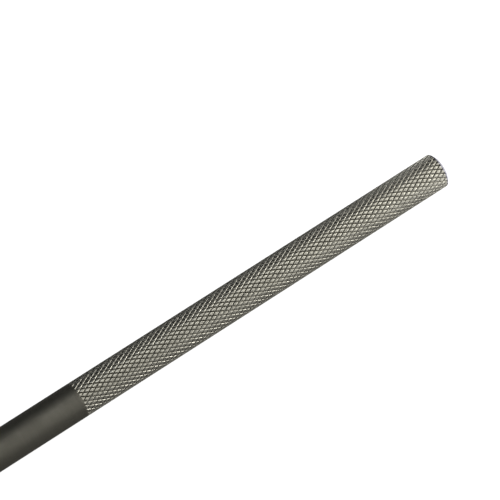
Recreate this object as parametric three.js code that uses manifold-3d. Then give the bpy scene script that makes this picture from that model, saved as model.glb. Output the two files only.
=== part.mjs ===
// Engineer's scriber with a knurled hollow handle and a reversible carbide needle held in a collet chuck.
// Millimetres. Each piece is turned about the tool's long axis, which lies along X with the point towards -X;
// the whole tool lies on the plane Z = 0.
import * as THREE from "three";
import { mergeVertices } from "three/addons/utils/BufferGeometryUtils.js";
import Module from "manifold-3d";

const wasm = await Module();
wasm.setup();

// ---- Driving dimensions -------------------------------------------------------------------------------------

const TOOL_LENGTH = 160;
const BODY_R = 3.5; // plain body, and the knurl's crests
const RUNNING_GAP = 0.05; // radial clearance of pieces that slide or turn in each other
const FACE_GAP = 0.3; // end gap between pieces that meet face to face

// Diamond knurl: two opposite families of V-grooves.
const KNURL_STARTS = 24; // grooves of one hand around the body
const KNURL_PITCH = 1.675; // axial distance between grooves of one hand
const KNURL_DEPTH = 0.28;
const SIDES = 2 * KNURL_STARTS; // a crest and a pit alternate round every row
const ROW = KNURL_PITCH / 2;
const CREST_PHASE = Math.PI / SIDES; // turns the first crest away from the bottom line

// Stations along the tool, measured from the rear end face towards the point.
const HANDLE_LENGTH = 118;
const REAR_CHAMFER = 0.5;
const GRIP_ROWS = 100; // half pitches of knurl on the handle
const CHUCK_GAP = 1.9; // from the handle's front face to the nut's rear face: flange and lock ring
const NUT_LENGTH = 14.6;
const NUT_KNURL_START = 1.0; // from the nut's rear face
const NUT_ROWS = 9;
const NUT_BARREL = 9.4; // from the nut's rear face to the foot of its cone
const NUT_NOSE_R = 2.1;

const BORE_R = 1.85; // needle store through the handle
const FRONT_SEAT_R = 2.55; // front counterbore that holds the chuck body
const FRONT_SEAT_DEPTH = 11;
const REAR_SEAT_R = 2.3; // rear counterbore that holds the end plug
const REAR_SEAT_DEPTH = 8.6;

const SPINDLE_R = 2.6; // chuck body's front thread, at its crest
const SPINDLE_LENGTH = 7.4;
const FLANGE_R = 3.2;
const FLANGE_THICK = 0.8;
const LOCK_RING_R = 0.36; // radius of the lock ring's round section
const COLLET_SEAT_R = 2.0; // bore of the chuck body round the collet

const COLLET_STEM_R = COLLET_SEAT_R - RUNNING_GAP;
const COLLET_HEAD_R = 2.4;
const COLLET_FRONT_R = 1.9;
const COLLET_STEM = 9.3; // rear face to the foot of the head
const COLLET_HEAD = 4.1; // head, cone included
const COLLET_SLOT = 0.36;
const COLLET_SLOTS = 2; // full-width cuts, each splitting two opposite sides

const NEEDLE_R = 1.5;
const NEEDLE_LENGTH = 72; // point to point
const NEEDLE_NECK = 12.5; // tapered length at each end of the shank
const NEEDLE_MOUTH_R = 0.75; // shank where a carbide tip enters it
const TIP_R = 0.55;
const TIP_SHOWN = 6.2;
const TIP_SET = 3.6; // length held inside the shank
const TIP_CONE = 3.2;
const TIP_POINT_R = 0.06;

const PLUG_INSET = 0.4; // slotted face below the handle's end face
const PLUG_LENGTH = 7.2;
const PLUG_SLOT_WIDTH = 0.9;
const PLUG_SLOT_DEPTH = 1.3;
const SEAL_SECTION_R = 0.26; // radius of the plug seal's round section
const SEAL_STATION = 5.6; // centre of the seal, from the plug's slotted face

// ---- Derived stations ---------------------------------------------------------------------------------------

const AXIS_HEIGHT = BODY_R * Math.cos(Math.PI / SIDES); // a flat between two crests rests on Z = 0
const REAR = TOOL_LENGTH / 2; // axial position of the rear end face
const at = (station) => REAR - station; // axial position of a station
const NUT_REAR = HANDLE_LENGTH + CHUCK_GAP;
const NUT_FRONT = NUT_REAR + NUT_LENGTH;
const SPINDLE_REAR = HANDLE_LENGTH - FRONT_SEAT_DEPTH + FACE_GAP;
const FLANGE_REAR = HANDLE_LENGTH + RUNNING_GAP;
const FLANGE_FRONT = FLANGE_REAR + FLANGE_THICK;
const SPINDLE_FRONT = FLANGE_FRONT + SPINDLE_LENGTH;
const COLLET_FRONT = NUT_FRONT - 2.2;
const COLLET_FOOT = COLLET_FRONT - COLLET_HEAD;
const COLLET_REAR = COLLET_FOOT - COLLET_STEM;
const GRIP_END = REAR_CHAMFER + GRIP_ROWS * ROW;

// ---- Materials ----------------------------------------------------------------------------------------------

const metal = (color, roughness) => new THREE.MeshStandardMaterial({ color, roughness, metalness: 1 });
const blackenedSteel = metal(0x5b5a53, 0.45);
const groundSteel = metal(0xb9bab8, 0.28);
const springSteel = metal(0x8f9296, 0.35);
const carbide = metal(0x3f4246, 0.3);
const rubber = new THREE.MeshStandardMaterial({ color: 0x17181a, roughness: 0.8, metalness: 0 });

// ---- Turned pieces ------------------------------------------------------------------------------------------

// A profile is a closed list of [station, radius] points: along the outside from the rear to the front, then
// back along the bore. A solid piece starts and ends on the axis instead.
function turned(profile, phase = 0) {
  const points = profile.map(([station, r]) => new THREE.Vector2(r, at(station))).reverse();
  const closed = profile[0][1] > 0;
  if (closed) points.push(points[0].clone());
  return new THREE.LatheGeometry(points, SIDES, phase);
}

// Profile points of a knurled length: one point on each row of crests and pits.
function knurlProfile(start, rows) {
  return Array.from({ length: rows + 1 }, (_, row) => [start + row * ROW, BODY_R]);
}

// Turned piece whose points from `start` on, `rows` half pitches long, are a diamond knurl. Every other vertex of
// such a row sinks to the pit radius, and each facet is folded along the line that joins two pits.
function turnedWithKnurl(profile, start, rows) {
  const geometry = turned(profile, CREST_PHASE);
  const position = geometry.attributes.position;
  const count = position.count / (SIDES + 1);
  const pitScale = 1 - KNURL_DEPTH / BODY_R;
  const onKnurl = (y) => y <= at(start) + 1e-3 && y >= at(start + rows * ROW) - 1e-3;
  for (let side = 0; side <= SIDES; side++) {
    for (let j = 0; j < count; j++) {
      const v = side * count + j;
      const [x, y, z] = [position.getX(v), position.getY(v), position.getZ(v)];
      if (!onKnurl(y) || Math.hypot(x, z) < BODY_R - 1e-3) continue;
      const row = Math.round((at(start) - y) / ROW);
      if ((row + side) % 2) position.setXYZ(v, x * pitScale, y, z * pitScale);
    }
  }
  const radius = (v) => Math.hypot(position.getX(v), position.getZ(v));
  const index = [];
  for (let side = 0; side < SIDES; side++) {
    for (let j = 0; j < count - 1; j++) {
      const a = side * count + j;
      const [b, c, d] = [a + count, a + count + 1, a + 1];
      const foldOnAC = radius(a) + radius(c) < radius(b) + radius(d) - 1e-4;
      index.push(...(foldOnAC ? [a, b, c, a, c, d] : [a, b, d, c, d, b]));
    }
  }
  geometry.setIndex(index);
  return geometry;
}

// ---- Boolean cuts -------------------------------------------------------------------------------------------

function solidOf(geometry) {
  const bare = geometry.clone();
  bare.deleteAttribute("normal");
  bare.deleteAttribute("uv");
  const merged = mergeVertices(bare, 1e-4);
  return new wasm.Manifold(
    new wasm.Mesh({
      numProp: 3,
      vertProperties: merged.attributes.position.array,
      triVerts: new Uint32Array(merged.index.array),
    }),
  );
}

function cut(geometry, tools) {
  const mesh = tools.reduce((solid, tool) => solid.subtract(solidOf(tool)), solidOf(geometry)).getMesh();
  const result = new THREE.BufferGeometry();
  result.setAttribute("position", new THREE.BufferAttribute(mesh.vertProperties, 3));
  result.setIndex(new THREE.BufferAttribute(mesh.triVerts, 1));
  result.computeVertexNormals();
  return result;
}

// A slab across the axis, from one station to another, turned by `angle` about the axis.
function slab(width, from, to, angle) {
  const box = new THREE.BoxGeometry(4 * BODY_R, to - from, width);
  return box.rotateY(angle).translate(0, at((from + to) / 2), 0);
}

// ---- Pieces -------------------------------------------------------------------------------------------------

// Handle: one bar, bored through, knurled from the rear end, plain towards the chuck.
function handleTube() {
  const outside = [
    [0, BODY_R - REAR_CHAMFER - 0.2],
    ...knurlProfile(REAR_CHAMFER, GRIP_ROWS),
    [GRIP_END + 0.25, BODY_R],
    [HANDLE_LENGTH - 0.3, BODY_R],
    [HANDLE_LENGTH, BODY_R - 0.3],
  ];
  const bore = [
    [HANDLE_LENGTH, FRONT_SEAT_R],
    [HANDLE_LENGTH - FRONT_SEAT_DEPTH, FRONT_SEAT_R],
    [HANDLE_LENGTH - FRONT_SEAT_DEPTH - 0.6, BORE_R],
    [REAR_SEAT_DEPTH + 0.5, BORE_R],
    [REAR_SEAT_DEPTH, REAR_SEAT_R],
    [0, REAR_SEAT_R],
  ];
  return turnedWithKnurl([...outside, ...bore], REAR_CHAMFER, GRIP_ROWS);
}

// Chuck body: spigot fixed in the handle, flange, and the thread that the nut runs on.
function chuckBody() {
  const spigotR = FRONT_SEAT_R - RUNNING_GAP;
  const springSeat = COLLET_REAR - 5.2;
  return turned([
    [SPINDLE_REAR, spigotR - 0.3],
    [SPINDLE_REAR + 0.3, spigotR],
    [FLANGE_REAR, spigotR],
    [FLANGE_REAR, FLANGE_R],
    [FLANGE_FRONT, FLANGE_R],
    [FLANGE_FRONT, SPINDLE_R - 0.3],
    [FLANGE_FRONT + 0.9, SPINDLE_R - 0.3],
    [FLANGE_FRONT + 1.2, SPINDLE_R],
    [SPINDLE_FRONT - 0.4, SPINDLE_R],
    [SPINDLE_FRONT, SPINDLE_R - 0.3],
    [SPINDLE_FRONT, COLLET_SEAT_R],
    [springSeat, COLLET_SEAT_R],
    [springSeat, NEEDLE_R + 2 * RUNNING_GAP],
    [SPINDLE_REAR, NEEDLE_R + 2 * RUNNING_GAP],
  ]);
}

// A ring of round section, centred on a station.
function roundRing(station, ringR, sectionR) {
  const section = new THREE.Path().absarc(0, 0, sectionR, 0, 2 * Math.PI).getPoints(6).slice(0, -1);
  return turned(section.map((p) => [station - p.x, ringR + p.y]));
}

// Collet: four jaws under a coned head, split from the front.
function collet() {
  const boreR = NEEDLE_R + RUNNING_GAP;
  const blank = turned([
    [COLLET_REAR, COLLET_STEM_R - 0.2],
    [COLLET_REAR + 0.2, COLLET_STEM_R],
    [COLLET_FOOT - 0.5, COLLET_STEM_R],
    [COLLET_FOOT + 0.3, COLLET_HEAD_R],
    [COLLET_FRONT - 1.7, COLLET_HEAD_R],
    [COLLET_FRONT, COLLET_FRONT_R],
    [COLLET_FRONT, boreR],
    [COLLET_REAR, boreR],
  ]);
  const cuts = Array.from({ length: COLLET_SLOTS }, (_, k) =>
    slab(COLLET_SLOT, COLLET_REAR + 3.5, COLLET_FRONT + 1, (k * Math.PI) / COLLET_SLOTS + Math.PI / 4),
  );
  return cut(blank, cuts);
}

// Spring behind the collet: closed helix of round wire that pushes the collet against the nut's cone.
function colletSpring() {
  const wireR = 0.14;
  const coilR = COLLET_SEAT_R - RUNNING_GAP - wireR - 0.05;
  const turns = 6;
  const rear = COLLET_REAR - 5.2 + wireR + RUNNING_GAP;
  const length = 5.2 - 2 * wireR - 2 * RUNNING_GAP;
  class Helix extends THREE.Curve {
    getPoint(t) {
      const angle = 2 * Math.PI * turns * t;
      return new THREE.Vector3(coilR * Math.cos(angle), at(rear + length * t), coilR * Math.sin(angle));
    }
  }
  const wire = new THREE.Shape().absarc(0, 0, wireR, 0, 2 * Math.PI);
  return new THREE.ExtrudeGeometry(wire, { steps: turns * 14, curveSegments: 3, extrudePath: new Helix() });
}

// Nut: knurled barrel, long cone and needle hole; inside, thread bore and the cone that closes the collet.
function chuckNut() {
  const knurlStart = NUT_REAR + NUT_KNURL_START;
  const headClear = 0.1;
  return turnedWithKnurl(
    [
      [NUT_REAR, BODY_R - 0.3],
      [NUT_REAR + 0.3, BODY_R],
      [knurlStart - 0.25, BODY_R],
      ...knurlProfile(knurlStart, NUT_ROWS),
      [knurlStart + NUT_ROWS * ROW + 0.25, BODY_R],
      [NUT_REAR + NUT_BARREL, BODY_R],
      [NUT_FRONT - 0.3, NUT_NOSE_R + 0.2],
      [NUT_FRONT, NUT_NOSE_R - 0.1],
      [NUT_FRONT, NEEDLE_R + 2 * RUNNING_GAP],
      [COLLET_FRONT + headClear, NEEDLE_R + 2 * RUNNING_GAP],
      [COLLET_FRONT + headClear, COLLET_FRONT_R + headClear],
      [COLLET_FRONT - 1.7, COLLET_HEAD_R + headClear],
      [SPINDLE_FRONT + 0.2, COLLET_HEAD_R + headClear],
      [SPINDLE_FRONT + 0.2, SPINDLE_R + RUNNING_GAP],
      [NUT_REAR, SPINDLE_R + RUNNING_GAP],
    ],
    knurlStart,
    NUT_ROWS,
  );
}

// Needle shank, the same at both ends, with a blind socket for each carbide tip.
function needleShank() {
  const front = TOOL_LENGTH;
  const rear = front - NEEDLE_LENGTH;
  const socketR = TIP_R + RUNNING_GAP;
  const blank = turned([
    [rear + TIP_SHOWN, 0],
    [rear + TIP_SHOWN, NEEDLE_MOUTH_R - 0.08],
    [rear + TIP_SHOWN + 0.08, NEEDLE_MOUTH_R],
    [rear + TIP_SHOWN + NEEDLE_NECK, NEEDLE_R],
    [front - TIP_SHOWN - NEEDLE_NECK, NEEDLE_R],
    [front - TIP_SHOWN - 0.08, NEEDLE_MOUTH_R],
    [front - TIP_SHOWN, NEEDLE_MOUTH_R - 0.08],
    [front - TIP_SHOWN, 0],
  ]);
  const socket = (from, to) =>
    turned([
      [from, 0],
      [from, socketR],
      [to, socketR],
      [to, 0],
    ]);
  const depth = TIP_SHOWN + TIP_SET + FACE_GAP;
  return cut(blank, [socket(rear, rear + depth), socket(front - depth, front)]);
}

// Carbide tip with its cone at `point`, which faces towards `sign` along the stations.
function carbideTip(point, sign) {
  const profile = [
    [point - sign * (TIP_SHOWN + TIP_SET), 0],
    [point - sign * (TIP_SHOWN + TIP_SET), TIP_R],
    [point - sign * TIP_CONE, TIP_R],
    [point - sign * 0.03, TIP_POINT_R],
    [point, 0],
  ];
  return turned(sign > 0 ? profile : profile.reverse());
}

// End plug: screwed in from the rear, with a driver slot and a groove for its seal.
function endPlug() {
  const plugR = REAR_SEAT_R - RUNNING_GAP;
  const groove = PLUG_INSET + SEAL_STATION;
  const grooveHalf = SEAL_SECTION_R + RUNNING_GAP;
  const grooveR = plugR - 2 * SEAL_SECTION_R - 2 * RUNNING_GAP;
  const front = PLUG_INSET + PLUG_LENGTH;
  const blank = turned([
    [PLUG_INSET, 0],
    [PLUG_INSET, plugR - 0.2],
    [PLUG_INSET + 0.2, plugR],
    [groove - grooveHalf, plugR],
    [groove - grooveHalf, grooveR],
    [groove + grooveHalf, grooveR],
    [groove + grooveHalf, plugR],
    [front - 0.4, plugR],
    [front, plugR - 0.4],
    [front, 0],
  ]);
  return cut(blank, [slab(PLUG_SLOT_WIDTH, PLUG_INSET - 1, PLUG_INSET + PLUG_SLOT_DEPTH, Math.PI / 5)]);
}

// ---- Assembly -----------------------------------------------------------------------------------------------

function piece(name, geometry, material) {
  const mesh = new THREE.Mesh(geometry, material);
  mesh.name = name;
  return mesh;
}

const flangeFace = FLANGE_FRONT + LOCK_RING_R + RUNNING_GAP;
const lockRingR = SPINDLE_R - 0.3 + RUNNING_GAP + LOCK_RING_R;
const sealRingR = REAR_SEAT_R - 2 * RUNNING_GAP - SEAL_SECTION_R;

const handle = new THREE.Group();
handle.add(
  piece("handle_tube", handleTube(), blackenedSteel),
  piece("chuck_body", chuckBody(), groundSteel),
  piece("chuck_lock_ring", roundRing(flangeFace, lockRingR, LOCK_RING_R), rubber),
);

const chuck = new THREE.Group();
chuck.add(
  piece("collet", collet(), springSteel),
  piece("collet_spring", colletSpring(), springSteel),
  piece("chuck_nut", chuckNut(), blackenedSteel),
);

const needle = new THREE.Group();
needle.add(
  piece("needle_shank", needleShank(), groundSteel),
  piece("front_carbide_tip", carbideTip(TOOL_LENGTH, 1), carbide),
  piece("rear_carbide_tip", carbideTip(TOOL_LENGTH - NEEDLE_LENGTH, -1), carbide),
);

const rearEnd = new THREE.Group();
rearEnd.add(
  piece("end_plug", endPlug(), blackenedSteel),
  piece("plug_seal_ring", roundRing(PLUG_INSET + SEAL_STATION, sealRingR, SEAL_SECTION_R), rubber),
);

// The pieces are turned about Y; the tool is laid down with that axis along X.
const scriber = new THREE.Group();
scriber.add(handle, chuck, needle, rearEnd);
scriber.rotation.z = -Math.PI / 2;
scriber.position.z = AXIS_HEIGHT;

export default scriber;
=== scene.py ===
"""Fine model and finishes of an engineer's scriber, built around its CAD frame.

The tool lies on the floor with its axis along X, its rear end towards +X and its point towards -X.
Each piece is turned about that axis, from rings of edges extruded from one station to the next.
Stations and radii are in millimetres; stations run from the rear end face towards the point.
"""
import logging
import math
from collections.abc import Callable, Sequence
from dataclasses import dataclass
from enum import Enum
from typing import ClassVar

import bmesh
import bpy
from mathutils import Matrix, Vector


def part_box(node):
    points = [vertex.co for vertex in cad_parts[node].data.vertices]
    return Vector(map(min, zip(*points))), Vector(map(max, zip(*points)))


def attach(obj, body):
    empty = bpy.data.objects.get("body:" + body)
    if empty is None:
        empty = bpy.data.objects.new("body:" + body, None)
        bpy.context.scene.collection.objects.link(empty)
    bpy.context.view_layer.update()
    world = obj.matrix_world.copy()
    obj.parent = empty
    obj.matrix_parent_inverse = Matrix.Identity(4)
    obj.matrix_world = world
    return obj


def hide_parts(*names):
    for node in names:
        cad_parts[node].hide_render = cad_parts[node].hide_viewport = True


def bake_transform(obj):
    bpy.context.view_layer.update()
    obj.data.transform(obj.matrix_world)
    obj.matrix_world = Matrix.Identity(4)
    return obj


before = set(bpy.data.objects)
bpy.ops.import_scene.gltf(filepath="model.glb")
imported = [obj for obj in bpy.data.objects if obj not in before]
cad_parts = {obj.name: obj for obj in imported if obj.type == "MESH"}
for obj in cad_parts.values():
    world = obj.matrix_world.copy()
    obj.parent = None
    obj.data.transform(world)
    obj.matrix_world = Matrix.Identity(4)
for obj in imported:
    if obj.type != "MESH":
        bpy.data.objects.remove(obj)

logging.basicConfig(level=logging.INFO, format="%(name)s: %(message)s")
log = logging.getLogger("scriber")

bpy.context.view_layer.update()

MM = 0.001  # metres in a millimetre
REAR_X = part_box("handle_tube")[1].x
AXIS_Z = (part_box("handle_tube")[0].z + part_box("handle_tube")[1].z) / 2
WELD = 2e-6  # metres; points closer than this are one point
NEAR = 5e-6  # metres; how near an edge lies to where it is looked for
FINE_SIDES = 128  # facets round a turned piece
MEDIUM_SIDES = 96  # facets round a slender one

Ring = tuple[float, float]  # station and radius of a ring of edges, in millimetres
Triple = tuple[float, float, float]
Piece = bpy.types.Object
Edge = bmesh.types.BMEdge
Material = bpy.types.Material
Node = bpy.types.Node
Socket = bpy.types.NodeSocket


class Body(Enum):
    """The moving bodies that pieces ride on."""

    HANDLE = "handle"
    COLLET = "collet"
    NUT = "nut"
    NEEDLE = "needle"
    PLUG_SEAL = "plug_seal"
    PLUG = "plug"


class End(Enum):
    """The two ends of a turned piece, as the sign of X that each faces."""

    REAR = 1
    FRONT = -1


def x_at(station: float) -> float:
    """Axial position, in metres, of a station in millimetres."""
    return REAR_X - station * MM


# ---- Bench: operators on the piece in hand ----


def deselect_all() -> None:
    """Clears the selection, because operators act on everything that is selected."""
    for obj in bpy.context.selected_objects:
        obj.select_set(False)


def take(piece: Piece) -> None:
    """Makes a piece the only selected object, and the active one."""
    deselect_all()
    piece.select_set(True)
    bpy.context.view_layer.objects.active = piece


def edit(piece: Piece) -> None:
    """Opens a piece in edit mode with nothing selected, in edge mode."""
    take(piece)
    bpy.ops.object.mode_set(mode="EDIT")
    bpy.ops.mesh.select_mode(type="EDGE")
    bpy.ops.mesh.select_all(action="DESELECT")


def edit_all(piece: Piece) -> None:
    """Opens a piece in edit mode with everything selected."""
    edit(piece)
    bpy.ops.mesh.select_all(action="SELECT")


def leave_edit() -> None:
    """Goes back to object mode."""
    bpy.ops.object.mode_set(mode="OBJECT")


def named(name: str) -> Piece:
    """Names the piece that was just added, and applies its place, turn and scale to its mesh."""
    piece = bpy.context.object
    piece.name = piece.data.name = name
    bpy.ops.object.transform_apply(location=True, rotation=True, scale=True)
    return piece


def add_circle(
    radius: float, middle: Triple, sides: int, turn: Triple = (0, math.pi / 2, 0)
) -> None:
    """Adds a circle of edges, by default square across the X axis.

    Args:
        radius: its radius, in millimetres.
        middle: its middle, in metres.
        sides: its edges.
        turn: how it is turned from lying flat.
    """
    bpy.ops.mesh.primitive_circle_add(
        vertices=sides, radius=radius * MM, fill_type="NOTHING", location=middle, rotation=turn
    )


def lies_at(edge: Edge, x: float) -> bool:
    """Whether an edge lies in the plane across the tool at x, in metres."""
    return all(abs(point.co.x - x) < WELD for point in edge.verts)


def pick_edges(piece: Piece, wanted: Callable[[Edge], bool]) -> int:
    """Selects the edges of the piece in edit mode that meet a test, and no others.

    Args:
        piece: the piece in edit mode.
        wanted: test of one edge.

    Returns:
        How many edges were selected.
    """
    bpy.ops.mesh.select_all(action="DESELECT")
    mesh = bmesh.from_edit_mesh(piece.data)
    found = [edge for edge in mesh.edges if wanted(edge)]
    for edge in found:
        edge.select_set(True)
    bmesh.update_edit_mesh(piece.data)
    return len(found)


def apply_modifiers(piece: Piece) -> None:
    """Applies every modifier of a piece, in order."""
    take(piece)
    for modifier in list(piece.modifiers):
        bpy.ops.object.modifier_apply(modifier=modifier.name)


def sweep(piece: Piece, pitch: float, turns: int, steps: int) -> bpy.types.Modifier:
    """Sweeps a piece's edges along a right-hand helix about the X axis, with a modifier.

    Args:
        piece: the outline that is swept.
        pitch: rise of one turn, in millimetres.
        turns: whole turns.
        steps: facets round one turn.

    Returns:
        The modifier, not applied yet.
    """
    helix = piece.modifiers.new("sweep", "SCREW")
    helix.axis = "X"
    helix.screw_offset = pitch * MM
    helix.iterations = turns
    helix.steps = helix.render_steps = steps
    return helix


def smooth(piece: Piece, degrees: float = 28.0) -> None:
    """Shades a piece smooth across edges flatter than an angle."""
    take(piece)
    bpy.ops.object.shade_smooth_by_angle(angle=math.radians(degrees))


def cut_with(piece: Piece, cutter: Piece) -> None:
    """Cuts a closed piece with a closed cutter and removes the cutter."""
    modifier = piece.modifiers.new("cut", "BOOLEAN")
    modifier.operation = "DIFFERENCE"
    modifier.solver = "EXACT"
    modifier.object = cutter
    apply_modifiers(piece)
    bpy.data.objects.remove(cutter)


class Turning:
    """A turned piece in the making, about the X axis, extruded ring by ring."""

    def __init__(self, name: str, rings: Sequence[Ring], sides: int = FINE_SIDES) -> None:
        """Adds the first ring as a circle and extrudes it through the others.

        Args:
            name: name of the piece.
            rings: station and radius of each ring, in order along the surface.
            sides: facets round the piece.
        """
        deselect_all()
        station, radius = rings[0]
        add_circle(radius, (x_at(station), 0, 0), sides)
        self.piece = named(name)
        edit_all(self.piece)
        self.station, self.radius = station, radius
        self.extrude_through(rings[1:])

    @classmethod
    def around(
        cls,
        sleeve: Piece,
        span: tuple[float, float],
        ahead: Sequence[Ring],
        behind: Sequence[Ring],
    ) -> "Turning":
        """Carries a sleeve's two open rings on until they meet.

        Args:
            sleeve: the sleeve, open at each end.
            span: stations where it starts and ends.
            ahead: rings from its front end on; the first one rounds the end off.
            behind: rings from its rear end back, in the same way.

        Returns:
            The closed piece.
        """
        turning = cls.__new__(cls)
        turning.piece = sleeve
        edit(sleeve)
        for station, rings in zip(reversed(span), (ahead, behind)):
            turning.take_open_ring(station, rings[0][1])
            turning.round_off(*rings[0])
            turning.extrude_through(rings[1:])
        turning.bridge_open_rings()
        return turning

    def take_open_ring(self, station: float, radius: float) -> None:
        """Selects the open edges at a station, to carry on from there.

        Args:
            station: where the open ring lies.
            radius: radius that the next ring is sized against.
        """
        x = x_at(station)
        pick_edges(self.piece, lambda e: e.is_boundary and lies_at(e, x))
        self.station, self.radius = station, radius

    def extrude_through(self, rings: Sequence[Ring]) -> None:
        """Extrudes the selected ring through a list of stations and radii."""
        for station, radius in rings:
            bpy.ops.mesh.extrude_region_move(
                TRANSFORM_OT_translate={"value": ((self.station - station) * MM, 0, 0)}
            )
            scale = radius / self.radius
            bpy.ops.transform.resize(value=(1, scale, scale), center_override=(x_at(station), 0, 0))
            self.station, self.radius = station, radius

    def round_off(self, station: float, radius: float) -> None:
        """Joins the open ragged ring in hand to a true circle.

        Args:
            station: station of the circle.
            radius: radius of the circle.
        """
        x = x_at(self.station)
        bpy.ops.mesh.select_all(action="DESELECT")
        add_circle(radius, (x_at(station), 0, 0), FINE_SIDES)
        pick_edges(self.piece, lambda e: e.is_wire or (e.is_boundary and lies_at(e, x)))
        bpy.ops.mesh.bridge_edge_loops()
        self.take_open_ring(station, radius)

    def close_open_rings(self) -> None:
        """Fills the open ring at each end with a face, on a piece that is solid at its axis."""
        for end in End:
            mesh = bmesh.from_edit_mesh(self.piece.data)
            open_x = [v.co.x for v in mesh.verts if v.is_boundary]
            x = max(open_x) if end is End.REAR else min(open_x)
            pick_edges(self.piece, lambda e, x=x: e.is_boundary and lies_at(e, x))
            bpy.ops.mesh.edge_face_add()

    def bridge_open_rings(self) -> None:
        """Joins the two open rings that are left, on a piece that is hollow."""
        pick_edges(self.piece, lambda e: e.is_boundary)
        bpy.ops.mesh.bridge_edge_loops()

    def bevel_rings(self, *rings: Triple) -> None:
        """Rounds several edges, each given by its station, its radius and the rounding's width."""
        for station, radius, width in rings:
            self.bevel_ring(station, radius, width)

    def bevel_ring(self, station: float, radius: float, width: float, segments: int = 3) -> None:
        """Rounds the edge that runs round the piece at a station and radius.

        Args:
            station: station of the edge.
            radius: radius of the edge.
            width: width of the rounding on each side of the edge, in millimetres.
            segments: faces across the rounding.
        """
        x, r = x_at(station), radius * MM
        found = pick_edges(
            self.piece,
            lambda e: all(
                abs(v.co.x - x) < NEAR and abs(v.co.yz.length - r) < NEAR for v in e.verts
            ),
        )
        if not found:
            raise ValueError(f"{self.piece.name} has no edge at {station}, radius {radius}")
        bpy.ops.mesh.bevel(offset=width * MM, segments=segments, affect="EDGES", clamp_overlap=True)

    def finish(self, degrees: float = 28.0) -> Piece:
        """Merges doubles, turns the faces outwards, lifts the piece to the axis and shades it.

        Args:
            degrees: edges flatter than this are shaded smooth.

        Returns:
            The finished piece, its object at the origin.
        """
        bpy.ops.mesh.select_all(action="SELECT")
        bpy.ops.mesh.remove_doubles(threshold=WELD / 4)
        lift(self.piece, degrees)
        return self.piece


def lift(piece: Piece, degrees: float) -> None:
    """Turns the faces of a piece in edit mode outwards, lifts it to the tool's axis and shades it.

    Args:
        piece: the piece, made about the X axis.
        degrees: edges flatter than this are shaded smooth.
    """
    bpy.ops.mesh.select_all(action="SELECT")
    bpy.ops.mesh.normals_make_consistent(inside=False)
    leave_edit()
    take(piece)
    piece.location.z += AXIS_Z
    bpy.ops.object.transform_apply(location=True, rotation=True, scale=True)
    smooth(piece, degrees)


def trim(piece: Piece, start: float, length: float) -> None:
    """Trims a sleeve in edit mode square at both ends, and leaves edit mode.

    Args:
        piece: the sleeve, longer than it will be.
        start: station of its rear end.
        length: its length along the tool.
    """
    for station, is_rear in ((start, True), (start + length, False)):
        bpy.ops.mesh.select_all(action="SELECT")
        bpy.ops.mesh.bisect(
            plane_co=(x_at(station), 0, 0),
            plane_no=(1, 0, 0),
            clear_inner=not is_rear,
            clear_outer=is_rear,
            threshold=1e-7,
        )
    leave_edit()


def slab(name: str, width: float, start: float, stop: float, angle: float) -> Piece:
    """Makes a slab right across the tool, for sawing a slot.

    Args:
        name: name of the cutter.
        width: width of the slot, in millimetres.
        start: station of its closed end.
        stop: station of its other end.
        angle: turn about the axis, in radians, from lying flat.

    Returns:
        The cutter, about the tool's axis, with its closed end rounded a little.
    """
    reach, corner = 5 * MM, 0.12
    deselect_all()
    middle = (x_at((start + stop) / 2), 0, AXIS_Z)
    bpy.ops.mesh.primitive_cube_add(size=1, location=middle, rotation=(angle, 0, 0))
    bpy.context.object.scale = (abs(stop - start) * MM, 2 * reach, width * MM)
    cutter = named(name)
    edit(cutter)
    x = x_at(start)
    pick_edges(cutter, lambda e: lies_at(e, x) and e.calc_length() > reach)
    bpy.ops.mesh.bevel(offset=corner * MM, segments=3, affect="EDGES")
    leave_edit()
    return cutter


def torus_ring(name: str, station: float, ring_radius: float, section_radius: float) -> Piece:
    """Makes a ring of round section about the tool's axis.

    Args:
        name: name of the piece.
        station: station of its middle.
        ring_radius: radius from the axis to the middle of the section.
        section_radius: radius of the section.

    Returns:
        The finished ring.
    """
    steps = 20
    angles = [2 * math.pi * k / steps for k in range(steps)]
    rings = [
        (station + section_radius * math.cos(a), ring_radius + section_radius * math.sin(a))
        for a in angles
    ]
    turning = Turning(name, rings, sides=MEDIUM_SIDES)
    turning.bridge_open_rings()
    return turning.finish(degrees=60)


# ---- Knurl ----


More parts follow.
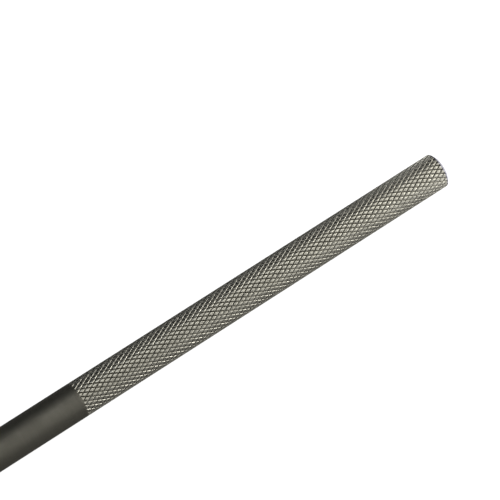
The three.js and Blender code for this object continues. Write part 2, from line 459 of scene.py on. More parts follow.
@dataclass(frozen=True)
class Knurl:
    """Diamond knurl: two opposite families of V-grooves that leave rows of blunt pyramids."""

    start: float
    length: float
    crest_radius: float = 3.5
    starts: int = 24
    pitch: float = 1.675
    depth: float = 0.15
    # Of each ring of a pyramid: share of the diamond's size, and of the depth, from the crest down.
    rings: tuple[tuple[float, float], ...] = ((0.94, 0.95), (0.64, 0.12), (0.50, 0.0))

    @property
    def span(self) -> tuple[float, float]:
        """Stations where the knurl starts and ends."""
        return self.start, self.start + self.length

    def sleeve(self, name: str) -> Piece:
        """Makes an open knurled sleeve about the X axis.

        One pyramid is modelled flat, repeated along and across, rolled up and trimmed at both ends.

        Args:
            name: name of the piece.

        Returns:
            The sleeve, with an open ragged ring at each end.
        """
        across = 2 * math.pi * self.crest_radius / self.starts
        piece = self.pyramid(name, across)
        rows = math.ceil(self.length / self.pitch) + 3
        self.repeat(piece, (self.pitch / 2, 0, across / 2), 2)
        self.repeat(piece, (self.pitch, 0, 0), rows)
        self.repeat(piece, (0, 0, across), self.starts)
        roll = piece.modifiers.new("roll", "SIMPLE_DEFORM")
        roll.deform_method = "BEND"
        roll.deform_axis = "X"
        roll.angle = 2 * math.pi * (self.starts + 0.5) / self.starts
        apply_modifiers(piece)
        edit_all(piece)
        front = x_at(self.start + self.length) - self.pitch * MM
        bpy.ops.transform.translate(value=(front, -self.crest_radius * MM, 0))
        bpy.ops.mesh.remove_doubles(threshold=WELD)
        trim(piece, self.start, self.length)
        return piece

    def pyramid(self, name: str, across: float) -> Piece:
        """Models one blunt pyramid flat, from a ring of four edges extruded and shrunk.

        Args:
            name: name of the piece.
            across: width of a diamond round the body, in millimetres.

        Returns:
            The pyramid, open below.
        """
        deselect_all()
        add_circle(1 / MM, (0, 0, 0), 4, (math.pi / 2, 0, 0))
        piece = named(name)
        edit_all(piece)
        half = Vector((self.pitch / 2, 0, across / 2)) * MM
        bpy.ops.transform.resize(value=(half.x, 1, half.z), center_override=(0, 0, 0))
        bpy.ops.transform.translate(value=(0, self.depth * MM, 0))
        size, below = 1.0, 1.0
        for next_size, next_below in self.rings:
            rise = (next_below - below) * self.depth * MM
            bpy.ops.mesh.extrude_region_move(TRANSFORM_OT_translate={"value": (0, rise, 0)})
            shrink = next_size / size
            bpy.ops.transform.resize(value=(shrink, 1, shrink), center_override=(0, 0, 0))
            size, below = next_size, next_below
        bpy.ops.mesh.edge_face_add()
        leave_edit()
        return piece

    @staticmethod
    def repeat(piece: Piece, step: Triple, count: int) -> None:
        """Repeats a piece along a step in millimetres, and welds the copies."""
        array = piece.modifiers.new("repeat", "ARRAY")
        array.use_relative_offset = False
        array.use_constant_offset = True
        array.constant_offset_displace = [s * MM for s in step]
        array.count = count
        array.use_merge_vertices = True
        array.merge_threshold = WELD
        apply_modifiers(piece)


# ---- Thread ----


@dataclass(frozen=True)
class Thread:
    """Fine right-hand 60 degree thread that the chuck's nut runs on."""

    start: float
    length: float
    crest_radius: float = 2.6
    depth: float = 0.3
    pitch: float = 0.5
    root_flat: float = 0.09
    crest_flat: float = 0.064
    steps: int = 72  # facets round one turn

    def sleeve(self, name: str) -> Piece:
        """Makes an open threaded sleeve about the X axis, from a tooth's outline swept round.

        Args:
            name: name of the piece.

        Returns:
            The sleeve, with an open ring at each end.
        """
        root, crest = self.crest_radius - self.depth, self.crest_radius
        flank = (self.pitch - self.root_flat - self.crest_flat) / 2
        moves = (
            (self.root_flat, 0.0),
            (flank, crest - root),
            (self.crest_flat, 0.0),
            (flank, root - crest),
        )
        turns = math.ceil(self.length / self.pitch) + 2
        deselect_all()
        front = x_at(self.start + self.length) - self.pitch * MM
        add_circle(0.1, (front, 0, root * MM), 3, (0, 0, 0))
        piece = named(name)
        edit(piece)
        bpy.ops.mesh.select_mode(type="VERT")
        bpy.ops.mesh.select_all(action="SELECT")
        bpy.ops.mesh.merge(type="CENTER")
        for along, rise in moves:
            move = (along * MM, 0, rise * MM)
            bpy.ops.mesh.extrude_vertices_move(TRANSFORM_OT_translate={"value": move})
        leave_edit()
        helix = sweep(piece, self.pitch, turns, self.steps)
        helix.use_merge_vertices = True
        helix.merge_threshold = WELD / 4
        apply_modifiers(piece)
        edit_all(piece)
        bpy.ops.mesh.remove_doubles(threshold=WELD / 2)
        trim(piece, self.start, self.length)
        return piece


# ---- Shader groups ----


Value = Socket | float | tuple[float, ...]  # what an input can be given
Given = bpy.types.NodeOutputs  # a group's inputs, as its nodes see them


class Graph:
    """A short hand for wiring shader nodes."""

    def __init__(self, tree: bpy.types.NodeTree) -> None:
        """Wraps a node tree and empties it."""
        self.tree = tree
        tree.nodes.clear()

    def add(
        self, kind: str, given: dict[str | int, Value] | None = None, **settings: object
    ) -> Node:
        """Adds a node, sets its properties and gives its inputs their values.

        Args:
            kind: the node's type name, without the leading ShaderNode where it has one.
            given: values of its inputs, by name or number.
            settings: properties of the node.

        Returns:
            The new node.
        """
        full = kind if kind.startswith("Node") else f"ShaderNode{kind}"
        node = self.tree.nodes.new(full)
        for name, value in settings.items():
            setattr(node, name, value)
        for key, value in (given or {}).items():
            self.give(node.inputs[key], value)
        return node

    def give(self, target: Socket, value: Value) -> None:
        """Links a socket to an input, or sets the input to a number or colour."""
        if isinstance(value, Socket):
            self.tree.links.new(value, target)
        else:
            target.default_value = value

    def place(self) -> Socket:
        """Gives the point's place in the piece's own coordinates."""
        return self.add("TexCoord").outputs["Object"]

    def along(self) -> Socket:
        """Gives the point's place along the tool, in metres."""
        return self.add("SeparateXYZ", {0: self.place()}).outputs["X"]

    def bump(self, height: Socket, strength: float, distance: float) -> Socket:
        """Gives the normal of a surface roughened by a height.

        Args:
            height: the height.
            strength: share of the bump that is used.
            distance: how high a height of one is, in millimetres.

        Returns:
            The normal's socket.
        """
        given = {"Strength": strength, "Distance": distance * MM, "Height": height}
        return self.add("Bump", given).outputs["Normal"]

    def math(self, operation: str, *inputs: Value) -> Socket:
        """Adds a Math node with sockets or numbers for its inputs, and returns its output."""
        return self.add("Math", dict(enumerate(inputs)), operation=operation).outputs[0]

    def remap(
        self, value: Socket, low: float, high: float, to_low: float = 0.0, to_high: float = 1.0
    ) -> Socket:
        """Maps a value's range smoothly onto another, clamped at both ends.

        Args:
            value: socket to map.
            low: value that maps to to_low.
            high: value that maps to to_high.
            to_low: result at low.
            to_high: result at high.

        Returns:
            The mapped value's socket.
        """
        ends = {"From Min": low, "From Max": high, "To Min": to_low, "To Max": to_high}
        given = {"Value": value, **ends}
        return self.add("MapRange", given, interpolation_type="SMOOTHSTEP").outputs["Result"]

    def mix(self, share: Value, first: Value, second: Value) -> Socket:
        """Mixes two colours, the second by its share, and returns the mixed colour."""
        node = self.add("Mix", data_type="RGBA")
        for name, value in (("Factor", share), ("A", first), ("B", second)):
            self.give(next(s for s in node.inputs if s.name == name and s.enabled), value)
        return next(s for s in node.outputs if s.enabled)

    def noise(self, vector: Socket, scale: float, detail: float, roughness: float) -> Socket:
        """Adds a noise texture and returns its value."""
        given = {"Vector": vector, "Scale": scale, "Detail": detail, "Roughness": roughness}
        return self.add("TexNoise", given, noise_dimensions="3D").outputs["Fac"]

    def scale(self, vector: Socket, factor: Socket) -> Socket:
        """Scales a vector by a socket's value."""
        node = self.add("VectorMath", {0: vector, "Scale": factor}, operation="SCALE")
        return node.outputs["Vector"]

    def stretch(self, vector: Socket, scale: Triple) -> Socket:
        """Stretches a vector by a factor along each axis, about the tool's axis."""
        given = {"Vector": vector, "Location": (0, 0, -AXIS_Z * scale[2]), "Scale": scale}
        return self.add("Mapping", given).outputs["Vector"]

    def patches(self, size: Socket, detail: float, roughness: float) -> Socket:
        """Adds noise whose patches have a size in millimetres, alike in every direction."""
        place = self.stretch(self.place(), (1 / MM, 1 / MM, 1 / MM))
        return self.noise(self.scale(place, self.math("DIVIDE", 1.0, size)), 1.0, detail, roughness)


class EffectGroup:
    """A shader node group with named inputs and outputs, built once."""

    name: ClassVar[str]
    inputs: ClassVar[dict[str, float]] = {}
    outputs: ClassVar[tuple[str, ...]]
    _made: ClassVar[dict[str, bpy.types.NodeTree]] = {}

    @classmethod
    def tree(cls) -> bpy.types.NodeTree:
        """Returns the group's node tree, built at its first use."""
        if cls.name not in EffectGroup._made:
            tree = bpy.data.node_groups.new(cls.name, "ShaderNodeTree")
            number = {"socket_type": "NodeSocketFloat"}
            for socket, value in cls.inputs.items():
                tree.interface.new_socket(socket, in_out="INPUT", **number).default_value = value
            for socket in cls.outputs:
                tree.interface.new_socket(socket, in_out="OUTPUT", **number)
            graph = Graph(tree)
            made = cls.wire(graph, graph.add("NodeGroupInput").outputs)
            graph.add("NodeGroupOutput", dict(enumerate(made)))
            EffectGroup._made[cls.name] = tree
        return EffectGroup._made[cls.name]

    @classmethod
    def wire(cls, graph: Graph, given: Given) -> tuple[Socket, ...]:
        """Wires the group's nodes from its inputs, and returns its outputs in order."""
        raise NotImplementedError

    @classmethod
    def use(cls, graph: Graph, **values: Value) -> Node:
        """Adds the group to a material with its own values.

        Args:
            graph: the material's graph.
            values: values of the group's inputs, by name with _ for spaces.

        Returns:
            The group node.
        """
        given = {name.replace("_", " "): value for name, value in values.items()}
        return graph.add("Group", given, node_tree=cls.tree())


class AxisRadius(EffectGroup):
    """Distance from the tool's axis, in millimetres."""

    name = "axis_radius"
    outputs = ("Radius",)

    @classmethod
    def wire(cls, graph: Graph, given: Given) -> tuple[Socket, ...]:
        """Takes the length of the point's offset from the axis."""
        across = graph.stretch(graph.place(), (0, 1 / MM, 1 / MM))
        return (graph.add("VectorMath", {0: across}, operation="LENGTH").outputs["Value"],)


class TurningMarks(EffectGroup):
    """Fine rings left by the lathe, as a height and as a streak value."""

    name = "turning_marks"
    inputs = {"Fineness": 9.0, "Waver": 0.15}
    outputs = ("Height", "Streak")

    @classmethod
    def wire(cls, graph: Graph, given: Given) -> tuple[Socket, ...]:
        """Stretches noise round the axis: it varies fast along the tool and slowly around it."""
        rings = graph.stretch(graph.place(), (1 / MM, 0.06 / MM, 0.06 / MM))
        rings = graph.scale(rings, given["Fineness"])
        fine = graph.noise(rings, 1.0, 2.0, 0.6)
        coarse = graph.noise(rings, 0.17, 3.0, 0.55)
        bent = graph.math("MULTIPLY", coarse, given["Waver"])
        return graph.math("ADD", fine, bent), graph.remap(coarse, 0.3, 0.7)


class SurfaceGrain(EffectGroup):
    """Even grain and broad cloudy variation of a treated metal surface."""

    name = "surface_grain"
    inputs = {"Grain Size": 0.06, "Cloud Size": 3.0}
    outputs = ("Grain", "Cloud")

    @classmethod
    def wire(cls, graph: Graph, given: Given) -> tuple[Socket, ...]:
        """Reads noise at the grain's and the clouds' sizes, both in millimetres."""
        details = zip(cls.inputs, (2.0, 4.0))
        return tuple(graph.patches(given[size], detail, 0.55) for size, detail in details)


class HandlingWear(EffectGroup):
    """Where hands and bench have rubbed a surface bright: high places first, in patches."""

    name = "handling_wear"
    inputs = {"Radius": 3.5, "High": 3.5, "Reach": 0.08, "Patch Size": 1.2, "Amount": 1.0}
    outputs = ("Mask",)

    @classmethod
    def wire(cls, graph: Graph, given: Given) -> tuple[Socket, ...]:
        """Takes how near the point is to the highest radius, and breaks it up with patches."""
        below = graph.math("SUBTRACT", given["High"], given["Radius"])
        share = graph.math("DIVIDE", below, given["Reach"])
        near = graph.remap(graph.math("SUBTRACT", 1.0, share), 0.0, 1.0)
        patches = graph.remap(graph.patches(given["Patch Size"], 5.0, 0.6), 0.25, 0.65, 0.3, 1.0)
        worn = graph.math("MULTIPLY", near, patches)
        return (graph.math("MULTIPLY", worn, given["Amount"]),)


# ---- Finishes ----

Colour = Triple


def rgba(colour: Colour) -> tuple[float, float, float, float]:
    """A colour with full alpha."""
    return (*colour, 1.0)


@dataclass(frozen=True)
class BlackenedSteel:
    """Chemically darkened steel, satin, burnished lighter where the knurl was rolled, with painted
    shade in the knurl's grooves and a painted reflection on the rear chamfer.
    """

    name: str = "blackened_steel"
    plain: Colour = (0.240, 0.232, 0.196)
    streak: Colour = (0.252, 0.243, 0.207)
    # painted reflection: light lavender grey painted on the rear chamfer
    painted_reflection_colour: Colour = (0.620, 0.610, 0.670)
    # painted shade at the bottoms of the knurl's grooves
    painted_groove_shade: Colour = (0.105, 0.100, 0.082)
    wall: Colour = (0.620, 0.602, 0.525)
    crest: Colour = (0.760, 0.738, 0.645)
    roughness: float = 0.58
    knurl_roughness: float = 0.36
    groove_shade_top: float = 0.35  # share of the depth below the crest where the painted groove shade ends and a wall is lightest
    painted_reflection_width: float = 0.7  # width of the painted reflection round the rear end, along the tool and inwards

    def build(self) -> Material:
        """Builds the material."""
        material, graph = new_material(self.name)
        radius = AxisRadius.use(graph).outputs["Radius"]
        marks = TurningMarks.use(graph, Fineness=7.0, Waver=0.3).outputs
        grain = SurfaceGrain.use(graph, Grain_Size=0.05, Cloud_Size=2.6).outputs
        high, depth = HANDLE.knurl.crest_radius, HANDLE.knurl.depth
        wear = HandlingWear.use(
            graph, Radius=radius, High=high, Reach=0.09, Patch_Size=1.4, Amount=0.9
        )
        on_knurl = self.knurl_mask(graph)
        plain = graph.mix(marks["Streak"], rgba(self.plain), rgba(self.streak))
        # painted reflection: the rear chamfer is painted light lavender grey
        plain = graph.mix(self.painted_reflection_mask(graph, radius), plain, rgba(self.painted_reflection_colour))
        # painted shade: the knurl's walls darken towards the bottoms of the grooves
        height = graph.remap(radius, high - depth, high - self.groove_shade_top * depth)
        wall = graph.mix(height, rgba(self.painted_groove_shade), rgba(self.wall))
        knurled = graph.mix(wear.outputs["Mask"], wall, rgba(self.crest))
        cloud = graph.remap(grain["Cloud"], 0.3, 0.7, -0.04, 0.05)
        base = graph.remap(on_knurl, 0, 1, self.roughness, self.knurl_roughness)
        return coat(
            material,
            graph,
            graph.mix(on_knurl, plain, knurled),
            graph.math("ADD", base, cloud),
            graph.bump(graph.math("ADD", marks["Height"], grain["Grain"]), 0.15, 0.004),
        )

    def painted_reflection_mask(self, graph: Graph, radius: Socket) -> Socket:
        """Marks the turned chamfer round the rear end, where a painted reflection lifts the colour
        to a light lavender grey.
        """
        behind = graph.math("GREATER_THAN", graph.along(), x_at(self.painted_reflection_width))
        outside = graph.math("GREATER_THAN", radius, HANDLE.knurl.crest_radius - self.painted_reflection_width)
        return graph.math("MULTIPLY", behind, outside)

    @staticmethod
    def knurl_mask(graph: Graph) -> Socket:
        """Marks the knurled lengths of the handle and the nut."""
        x = graph.along()
        masks = []
        for start, stop in (HANDLE.knurl.span, NUT.knurl.span):
            after = graph.math("LESS_THAN", x, x_at(start))
            before = graph.math("GREATER_THAN", x, x_at(stop))
            masks.append(graph.math("MULTIPLY", after, before))
        return graph.math("ADD", *masks)


@dataclass(frozen=True)
class BareMetal:
    """Uncoated turned or ground metal."""

    name: str
    colour: Colour
    streak: Colour
    roughness: float
    fineness: float = 12.0
    bump: float = 0.03

    def build(self) -> Material:
        """Builds the material."""
        material, graph = new_material(self.name)
        marks = TurningMarks.use(graph, Fineness=self.fineness, Waver=0.2).outputs
        cloud = SurfaceGrain.use(graph, Grain_Size=0.04, Cloud_Size=1.8).outputs["Cloud"]
        smoothest, roughest = self.roughness - 0.04, self.roughness + 0.06
        return coat(
            material,
            graph,
            graph.mix(marks["Streak"], rgba(self.colour), rgba(self.streak)),
            graph.remap(cloud, 0.3, 0.7, smoothest, roughest),
            graph.bump(marks["Height"], self.bump, 0.003),
        )


@dataclass(frozen=True)
class BlackRubber:
    """Moulded black rubber with a faint bloom."""

    name: str = "black_rubber"
    colour: Colour = (0.022, 0.022, 0.024)
    bloom: Colour = (0.055, 0.055, 0.058)

    def build(self) -> Material:
        """Builds the material."""
        material, graph = new_material(self.name)
        grain = SurfaceGrain.use(graph, Grain_Size=0.08, Cloud_Size=1.5).outputs
        return coat(
            material,
            graph,
            graph.mix(graph.remap(grain["Cloud"], 0.4, 0.8), rgba(self.colour), rgba(self.bloom)),
            graph.remap(grain["Grain"], 0.3, 0.7, 0.55, 0.75),
            graph.bump(grain["Grain"], 0.3, 0.01),
            metallic=0.0,
        )


def new_material(name: str) -> tuple[Material, Graph]:
    """Starts a material, and returns it with its empty graph."""
    material = bpy.data.materials.new(name)
    material.use_nodes = True
    return material, Graph(material.node_tree)


def coat(
    material: Material,
    graph: Graph,
    colour: Socket,
    roughness: Socket,
    normal: Socket,
    metallic: float = 1.0,
) -> Material:
    """Finishes a material's graph with its surface.

    Args:
        material: the material.
        graph: its graph.
        colour: the surface's colour.
        roughness: its roughness.
        normal: its normal.
        metallic: 1 for metal, 0 for anything else.

    Returns:
        The material.
    """
    given = {"Base Color": colour, "Roughness": roughness, "Normal": normal, "Metallic": metallic}
    shader = graph.add("BsdfPrincipled", given)
    graph.add("OutputMaterial", {"Surface": shader.outputs["BSDF"]})
    return material


class Finish(Enum):
    """The tool's finishes."""

    BLACKENED_STEEL = "blackened_steel"
    GROUND_STEEL = "ground_steel"
    SPRING_STEEL = "spring_steel"
    CARBIDE = "carbide"
    BLACK_RUBBER = "black_rubber"

    def material(self) -> Material:
        """The finish's material, built on first use."""
        if self not in dressed:
            dressed[self] = makers[self].build()
        return dressed[self]


@dataclass(frozen=True)
class Stretch:
    """A far body, and the points where a piece starts and ends."""

    far_body: Body
    start: Triple
    end: Triple


def hand_over(
    piece: Piece, node: str, body: Body, finish: Finish, stretch: Stretch | None = None
) -> None:
    """Dresses a finished piece, hides its CAD node, and joins it to its body, or bakes its
    transform into its mesh when a stretch is given.

    Args:
        piece: the finished piece.
        node: CAD node that it stands for.
        body: body that it moves with.
        finish: its finish.
        stretch: when given, the piece is joined to no body; only whether it is given is read.
    """
    piece.data.materials.clear()
    piece.data.materials.append(finish.material())
    if stretch:
        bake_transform(piece)
    else:
        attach(piece, body.value)
    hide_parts(node)
    log.info("%s on %s: %d faces", piece.name, body.value, len(piece.data.polygons))


# ---- Sub-assemblies ----


@dataclass(frozen=True)
class Handle:
    """Knurled hollow handle: one bar, bored through, with a seat at each end."""

    length: float = 118.0
    end_radius: float = 2.8
    chamfer: float = 0.5
    bore_radius: float = 1.85
    front_seat_radius: float = 2.55
    front_seat_depth: float = 11.0
    rear_seat_radius: float = 2.3
    rear_seat_depth: float = 8.6
    front_chamfer: float = 0.35
    run_out: float = 0.3
    knurl: Knurl = Knurl(0.72, 83.05)

    def build(self) -> None:
        """Makes the handle and hands it over."""
        stop, outer = self.knurl.span[1], self.knurl.crest_radius
        turning = Turning.around(
            self.knurl.sleeve("handle"),
            self.knurl.span,
            ahead=[
                (stop + self.run_out, outer), (stop + self.run_out + 0.2, outer),
                (self.length - 0.6, outer), (self.length - self.front_chamfer, outer),
                (self.length, outer - self.front_chamfer), (self.length, self.front_seat_radius),
                (self.length - self.front_seat_depth, self.front_seat_radius),
                (self.length - self.front_seat_depth - 0.6, self.bore_radius),
                (self.rear_seat_depth + 0.5, self.bore_radius),
                (self.rear_seat_depth, self.rear_seat_radius), (0.15, self.rear_seat_radius),
                (0.0, self.rear_seat_radius + 0.12), (0.0, self.end_radius),
            ],
            behind=[(self.chamfer + 0.06, outer), (self.chamfer, outer)],
        )
        turning.bevel_rings(
            (self.chamfer, outer, 0.05), (0.0, self.end_radius, 0.06),
            (self.length, outer - self.front_chamfer, 0.06),
            (self.length - self.front_chamfer, outer, 0.06),
        )
        hand_over(turning.finish(), "handle_tube", Body.HANDLE, Finish.BLACKENED_STEEL)


@dataclass(frozen=True)
class Nut:
    """Chuck nut: knurled barrel and long cone, hollow for the collet's head."""

    rear: float = 119.9
    length: float = 14.6
    barrel: float = 9.4
    nose_radius: float = 2.1
    needle_hole: float = 1.6
    thread_radius: float = 2.65
    thread_front: float = 126.45
    collet_front: float = 132.3
    head_cone: float = 1.7
    head_radius: float = 2.5
    mouth_radius: float = 2.0
    head_clearance: float = 0.1
    edge: float = 0.3
    run_out: float = 0.25
    knurl: Knurl = Knurl(120.9, 7.5375)

    def build(self) -> None:
        """Makes the nut and hands it over."""
        start, stop = self.knurl.span
        outer = self.knurl.crest_radius
        front = self.rear + self.length
        foot = self.rear + self.barrel
        mouth = self.collet_front + self.head_clearance
        turning = Turning.around(
            self.knurl.sleeve("chuck_nut_fine"),
            self.knurl.span,
            ahead=[
                (stop + self.run_out, outer), (foot, outer),
                (front - self.edge, self.nose_radius + 0.2), (front, self.nose_radius - 0.1),
                (front, self.needle_hole + 0.12), (front - 0.12, self.needle_hole),
                (mouth, self.needle_hole), (mouth, self.mouth_radius),
                (self.collet_front - self.head_cone, self.head_radius),
                (self.thread_front, self.head_radius), (self.thread_front, self.thread_radius),
                (self.rear + 0.2, self.thread_radius), (self.rear, self.thread_radius + 0.15),
                (self.rear, outer - self.edge),
            ],
            behind=[(start - self.run_out, outer), (self.rear + self.edge, outer)],
        )
        turning.bevel_rings(
            (self.rear, outer - self.edge, 0.05), (self.rear + self.edge, outer, 0.06),
            (foot, outer, 0.12), (front - self.edge, self.nose_radius + 0.2, 0.1),
            (front, self.nose_radius - 0.1, 0.06),
        )
        hand_over(turning.finish(), "chuck_nut", Body.NUT, Finish.BLACKENED_STEEL)


@dataclass(frozen=True)
class ChuckBody:
    """Fixed part of the chuck: spigot, flange, lock ring, and the thread for the nut."""

    rear: float = 107.3
    spigot_radius: float = 2.5
    flange_rear: float = 118.05
    flange_front: float = 118.85
    flange_radius: float = 3.2
    undercut_radius: float = 2.3
    front: float = 126.25
    seat_radius: float = 2.0
    seat_rear: float = 113.7
    bore_radius: float = 1.6
    ring_station: float = 119.26
    ring_radius: float = 2.71
    ring_section: float = 0.36
    thread: Thread = Thread(119.95, 6.0)

    def build(self) -> None:
        """Makes the chuck body and its lock ring, and hands them over."""
        start, stop = self.thread.start, self.thread.start + self.thread.length
        turning = Turning.around(
            self.thread.sleeve("chuck_spindle"),
            (start, stop),
            ahead=[
                (self.front - 0.08, self.undercut_radius),
                (self.front, self.undercut_radius - 0.08), (self.front, self.seat_radius + 0.1),
                (self.front - 0.1, self.seat_radius), (self.seat_rear + 0.25, self.seat_radius),
                (self.seat_rear, self.seat_radius - 0.25), (self.seat_rear, self.bore_radius),
                (self.rear + 0.2, self.bore_radius), (self.rear, self.bore_radius + 0.2),
                (self.rear, self.spigot_radius - 0.3), (self.rear + 0.3, self.spigot_radius),
                (self.flange_rear, self.spigot_radius), (self.flange_rear, self.flange_radius),
                (self.flange_front, self.flange_radius), (self.flange_front, self.undercut_radius),
            ],
            behind=[(start - 0.2, self.undercut_radius)],
        )
        turning.bevel_rings(
            (self.flange_rear, self.flange_radius, 0.08),
            (self.flange_front, self.flange_radius, 0.08),
            (self.rear + 0.3, self.spigot_radius, 0.06),
        )
        hand_over(turning.finish(), "chuck_body", Body.HANDLE, Finish.GROUND_STEEL)
        ring = torus_ring("lock_ring", self.ring_station, self.ring_radius, self.ring_section)
        hand_over(ring, "chuck_lock_ring", Body.HANDLE, Finish.BLACK_RUBBER)


@dataclass(frozen=True)
class Collet:
    """Four-jawed collet under a coned head, and the spring behind it."""

    rear: float = 118.9
    stem_radius: float = 1.95
    foot: float = 128.2
    head_radius: float = 2.4
    cone_start: float = 130.6
    front: float = 132.3
    front_radius: float = 1.9
    bore_radius: float = 1.55
    slot_width: float = 0.36
    slot_start: float = 122.4
    slots: int = 2
    spring_rear: float = 113.89
    spring_length: float = 4.82
    wire_radius: float = 0.14
    coil_radius: float = 1.76
    closed_pitch: float = 0.3
    free_turns: int = 4

    def build(self) -> None:
        """Makes the collet and its spring, and hands them over."""
        turning = Turning(
            "split_collet",
            [
                (self.rear, self.bore_radius), (self.rear, self.stem_radius - 0.2),
                (self.rear + 0.2, self.stem_radius), (self.foot - 0.5, self.stem_radius),
                (self.foot + 0.3, self.head_radius), (self.cone_start, self.head_radius),
                (self.front, self.front_radius), (self.front, self.bore_radius + 0.1),
                (self.front - 0.1, self.bore_radius),
            ],
            sides=MEDIUM_SIDES,
        )
        turning.bridge_open_rings()
        turning.bevel_rings(
            (self.front, self.front_radius, 0.08), (self.cone_start, self.head_radius, 0.1),
            (self.foot + 0.3, self.head_radius, 0.08),
        )
        collet = turning.finish()
        for k in range(self.slots):
            angle = math.pi * (k / self.slots + 0.25)
            saw = slab("saw", self.slot_width, self.slot_start, self.front + 1, angle)
            cut_with(collet, saw)
        smooth(collet)
        hand_over(collet, "collet", Body.COLLET, Finish.SPRING_STEEL)
        self.build_spring()

    def build_spring(self) -> None:
        """Makes the spring: a closed turn at each end, and open turns between them."""
        open_pitch = (self.spring_length - 2 * self.closed_pitch) / self.free_turns
        front = self.spring_rear + self.spring_length
        turns = (
            (front, self.closed_pitch, 1),
            (front - self.closed_pitch, open_pitch, self.free_turns),
            (self.spring_rear + self.closed_pitch, self.closed_pitch, 1),
        )
        coils = [self.coil(station, pitch, count) for station, pitch, count in turns]
        take(coils[0])
        for coil in coils[1:]:
            coil.select_set(True)
        bpy.ops.object.join()
        spring = bpy.context.object
        spring.name = spring.data.name = "closing_spring"
        edit_all(spring)
        bpy.ops.mesh.remove_doubles(threshold=WELD)
        pick_edges(spring, lambda e: e.is_boundary)
        bpy.ops.mesh.fill_holes(sides=0)
        lift(spring, 60)
        start, end = ((x_at(station), 0, AXIS_Z) for station in (self.spring_rear, front))
        stretch = Stretch(Body.COLLET, start, end)
        hand_over(spring, "collet_spring", Body.HANDLE, Finish.SPRING_STEEL, stretch)

    def coil(self, station: float, pitch: float, turns: int) -> Piece:
        """Sweeps the wire's section along a helix, from a station towards the rear.

        Args:
            station: station where the wire's middle starts.
            pitch: distance between turns.
            turns: whole turns.

        Returns:
            The coil, open at both ends.
        """
        deselect_all()
        middle = (x_at(station), 0, self.coil_radius * MM)
        add_circle(self.wire_radius, middle, 12, (math.pi / 2, 0, 0))
        coil = named("coil")
        sweep(coil, pitch, turns, steps=40)
        apply_modifiers(coil)
        return coil


@dataclass(frozen=True)
class Needle:
    """Double-ended needle: a ground shank with a carbide tip set in each end."""

    front: float = 160.0
    length: float = 72.0
    radius: float = 1.5
    neck: float = 12.5
    mouth_radius: float = 0.75
    tip_radius: float = 0.55
    tip_shown: float = 6.2
    tip_set: float = 3.6
    tip_cone: float = 3.2
    point_radius: float = 0.06
    socket_radius: float = 0.6
    socket_depth: float = 3.9

    def build(self) -> None:
        """Makes the shank and both tips, and hands them over."""
        rear = self.front - self.length
        half = [
            (self.tip_shown + self.socket_depth, self.socket_radius),
            (self.tip_shown + 0.04, self.socket_radius),
            (self.tip_shown, self.socket_radius + 0.04),
            (self.tip_shown, self.mouth_radius - 0.08), (self.tip_shown + 0.08, self.mouth_radius),
            (self.tip_shown + self.neck, self.radius),
        ]
        rings = [(rear + along, r) for along, r in half]
        rings += [(self.front - along, r) for along, r in reversed(half)]
        turning = Turning("needle_body", rings, sides=MEDIUM_SIDES)
        self.close_sockets(turning)
        shoulder = self.tip_shown + self.neck
        for station in (rear + shoulder, self.front - shoulder):
            turning.bevel_ring(station, self.radius, 0.25, 4)
        hand_over(turning.finish(12), "needle_shank", Body.NEEDLE, Finish.GROUND_STEEL)
        self.build_tip("front_point", "front_carbide_tip", self.front, End.FRONT)
        self.build_tip("rear_point", "rear_carbide_tip", rear, End.REAR)

    def close_sockets(self, turning: Turning) -> None:
        """Fills the bottom of each tip's socket."""
        for station in (
            self.front - self.length + self.tip_shown + self.socket_depth,
            self.front - self.tip_shown - self.socket_depth,
        ):
            turning.take_open_ring(station, self.socket_radius)
            bpy.ops.mesh.edge_face_add()

    def build_tip(self, name: str, node: str, point: float, end: End) -> None:
        """Makes a tip: a plain stem, a long ground cone and a very small rounded point.

        Args:
            name: name of the piece.
            node: CAD node that it stands for.
            point: station of its point.
            end: which way it points.
        """
        r = self.point_radius
        profile = [
            (self.tip_shown + self.tip_set, self.tip_radius - 0.06),
            (self.tip_shown + self.tip_set - 0.06, self.tip_radius),
            (self.tip_cone, self.tip_radius), (self.tip_cone / 2, (self.tip_radius + r) / 2),
            (0.03, r),
            (0.012, 0.7 * r),
            (0.002, 0.3 * r),
        ]
        rings = [(point + end.value * along, radius) for along, radius in profile]
        turning = Turning(name, rings, sides=64)
        turning.close_open_rings()
        turning.bevel_ring(point + end.value * self.tip_cone, self.tip_radius, 0.06)
        hand_over(turning.finish(20), node, Body.NEEDLE, Finish.CARBIDE)


@dataclass(frozen=True)
class EndPlug:
    """Screw plug of the needle store, slotted for a driver, with a seal ring in its groove."""

    rear: float = 0.4
    front: float = 7.6
    radius: float = 2.25
    groove: float = 6.0
    groove_half: float = 0.31
    groove_radius: float = 1.63
    slot_width: float = 0.9
    slot_depth: float = 1.3
    slot_angle: float = math.pi / 5
    seal_radius: float = 1.94
    seal_section: float = 0.26

    def build(self) -> None:
        """Makes the plug and its seal, and hands them over."""
        turning = Turning(
            "slotted_plug",
            [
                (self.rear, 0.5), (self.rear, self.radius - 0.2), (self.rear + 0.2, self.radius),
                (self.groove - self.groove_half, self.radius),
                (self.groove - self.groove_half, self.groove_radius),
                (self.groove + self.groove_half, self.groove_radius),
                (self.groove + self.groove_half, self.radius), (self.front - 0.4, self.radius),
                (self.front, self.radius - 0.4), (self.front, 0.5),
            ],
            sides=MEDIUM_SIDES,
        )
        turning.close_open_rings()
        turning.bevel_rings(
            (self.rear, self.radius - 0.2, 0.06), (self.rear + 0.2, self.radius, 0.06),
        )
        plug = turning.finish()
        floor = self.rear + self.slot_depth
        cut_with(plug, slab("driver_slot", self.slot_width, floor, self.rear - 1, self.slot_angle))
        smooth(plug)
        hand_over(plug, "end_plug", Body.PLUG, Finish.BLACKENED_STEEL)
        seal = torus_ring("plug_seal", self.groove, self.seal_radius, self.seal_section)
        hand_over(seal, "plug_seal_ring", Body.PLUG_SEAL, Finish.BLACK_RUBBER)


HANDLE = Handle()
NUT = Nut()

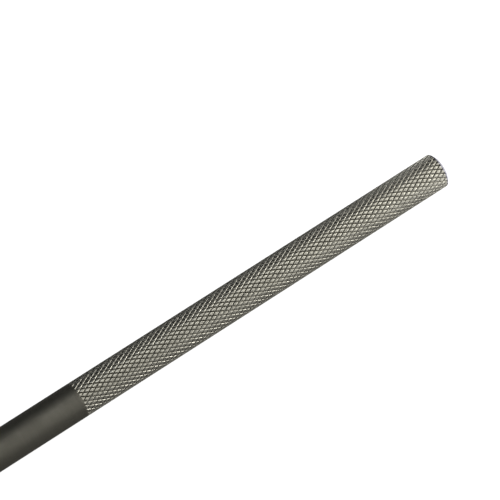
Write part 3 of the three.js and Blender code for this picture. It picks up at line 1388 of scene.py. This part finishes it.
dressed: dict[Finish, Material] = {}
makers: dict[Finish, object] = {
    Finish.BLACKENED_STEEL: BlackenedSteel(),
    Finish.GROUND_STEEL: BareMetal("ground_steel", (0.60, 0.60, 0.59), (0.66, 0.66, 0.65), 0.36),
    Finish.SPRING_STEEL: BareMetal("spring_steel", (0.42, 0.43, 0.45), (0.50, 0.51, 0.52), 0.38),
    Finish.CARBIDE: BareMetal("carbide", (0.20, 0.21, 0.225), (0.26, 0.27, 0.28), 0.26, 30.0),
    Finish.BLACK_RUBBER: BlackRubber(),
}


# ---- Stage ----


def away(azimuth: float, elevation: float) -> Vector:
    """Direction away from the tool, in degrees from -Y towards +X and above the floor."""
    turn, rise = math.radians(azimuth), math.radians(elevation)
    level = math.cos(rise)
    return Vector((math.sin(turn) * level, -math.cos(turn) * level, math.sin(rise)))


@dataclass(frozen=True)
class Softbox:
    """A square soft light that faces the grip."""

    name: str
    azimuth: float
    elevation: float
    power: float  # watts
    size: float = 0.15  # metres
    colour: Colour = (1.0, 0.99, 0.96)
    distance: float = 0.4  # metres from the grip

    def build(self, target: Vector) -> None:
        """Hangs the light and turns it to the target."""
        back = away(self.azimuth, self.elevation)
        deselect_all()
        bpy.ops.object.light_add(type="AREA", location=target + back * self.distance)
        light = bpy.context.object
        light.name = self.name
        light.rotation_euler = (-back).to_track_quat("-Z", "Y").to_euler()
        light.data.shape = "RECTANGLE"
        light.data.size = light.data.size_y = self.size
        light.data.energy = self.power
        light.data.color = self.colour
        light.visible_camera = False


@dataclass(frozen=True)
class Studio:
    """Pale floor, soft lights and the camera."""

    azimuth: float = -36.35  # degrees, as for the lights
    elevation: float = 59.5
    distance: float = 0.616  # metres
    lens: float = 237.6
    grip_centre: float = 40.4  # station that the camera is set out from
    aim_left: float = 3.435  # millimetres, from that station to the middle of the view
    aim_up: float = 5.25
    lit_station: float = 25.0  # station that the lights are set out from
    surroundings: float = 0.004
    floor_glow: float = 0.92
    floor_paper: float = 0.85
    floor_bounce: float = 0.5
    floor_flare: float = 1.2  # light thrown up by the floor beyond the rear end
    flare_ends: tuple[float, float] = (-1.0, 5.0)  # where it starts and is full, past that end
    sky_colour: Colour = (0.92, 0.97, 1.08)

    def build(self) -> None:
        """Builds the floor, the lights and the camera."""
        target = Vector((x_at(self.grip_centre), 0, AXIS_Z))
        self.floor()
        self.world()
        for light in (
            Softbox("key", 49.6, 28.5, 0.397),
            Softbox("beyond_rear_end", 84.5, 47.8, 0.131),
            Softbox("above_rear_end", 80.7, 61.6, 0.125),
            Softbox("overhead", 0.0, 85.0, 0.091),
            Softbox("behind", -134.6, 75.9, 0.079, 0.32, (0.85, 0.92, 1.0)),
            Softbox("low_front", 15.4, 24.2, 0.077),
            Softbox("high_front", 0.0, 55.0, 0.062),
        ):
            light.build(Vector((x_at(self.lit_station), 0, AXIS_Z)))
        self.camera(target)

    def floor(self) -> None:
        """Lays a large pale floor, which the camera sees lighter than it lights the tool."""
        deselect_all()
        bpy.ops.mesh.primitive_plane_add(size=6, location=(0, 0, 0))
        floor = bpy.context.object
        floor.name = "floor"
        material, graph = new_material("pale_floor")
        ends = (REAR_X + end * MM for end in self.flare_ends)
        flare = graph.remap(graph.along(), *ends, 0, self.floor_flare)
        shaders = [graph.add("LightPath").outputs["Is Camera Ray"]]
        for glow, albedo in ((flare, self.floor_bounce), (self.floor_glow, self.floor_paper)):
            light = graph.add("Emission", {"Strength": glow}).outputs[0]
            paper = graph.add("BsdfDiffuse", {"Color": rgba((albedo,) * 3)}).outputs[0]
            shaders.append(graph.add("AddShader", {0: light, 1: paper}).outputs[0])
        seen = graph.add("MixShader", dict(enumerate(shaders)))
        graph.add("OutputMaterial", {"Surface": seen.outputs[0]})
        floor.data.materials.append(material)

    def world(self) -> None:
        """Sets dim, even surroundings."""
        world = bpy.data.worlds.new("surroundings")
        bpy.context.scene.world = world
        world.use_nodes = True
        background = world.node_tree.nodes["Background"]
        background.inputs["Color"].default_value = rgba(self.sky_colour)
        background.inputs["Strength"].default_value = self.surroundings
        bpy.context.scene.view_settings.view_transform = "Standard"

    def camera(self, target: Vector) -> None:
        """Sets the camera on the grip, seen from above, from the side and towards the rear end."""
        back = away(self.azimuth, self.elevation)
        right = away(self.azimuth + 90, 0)
        up = back.cross(right)
        aim = target - right * self.aim_left * MM + up * self.aim_up * MM
        deselect_all()
        bpy.ops.object.camera_add(location=aim + back * self.distance)
        camera = bpy.context.object
        camera.rotation_euler = (-back).to_track_quat("-Z", "Y").to_euler()
        camera.data.lens = self.lens
        camera.data.sensor_width = 36
        camera.data.clip_start = 0.01
        bpy.context.scene.camera = camera


def main() -> None:
    """Builds every sub-assembly and the stage."""
    for part in (HANDLE, ChuckBody(), Collet(), NUT, Needle(), EndPlug()):
        part.build()
    Studio().build()
    bpy.context.view_layer.update()


if __name__ == "__main__":
    main()
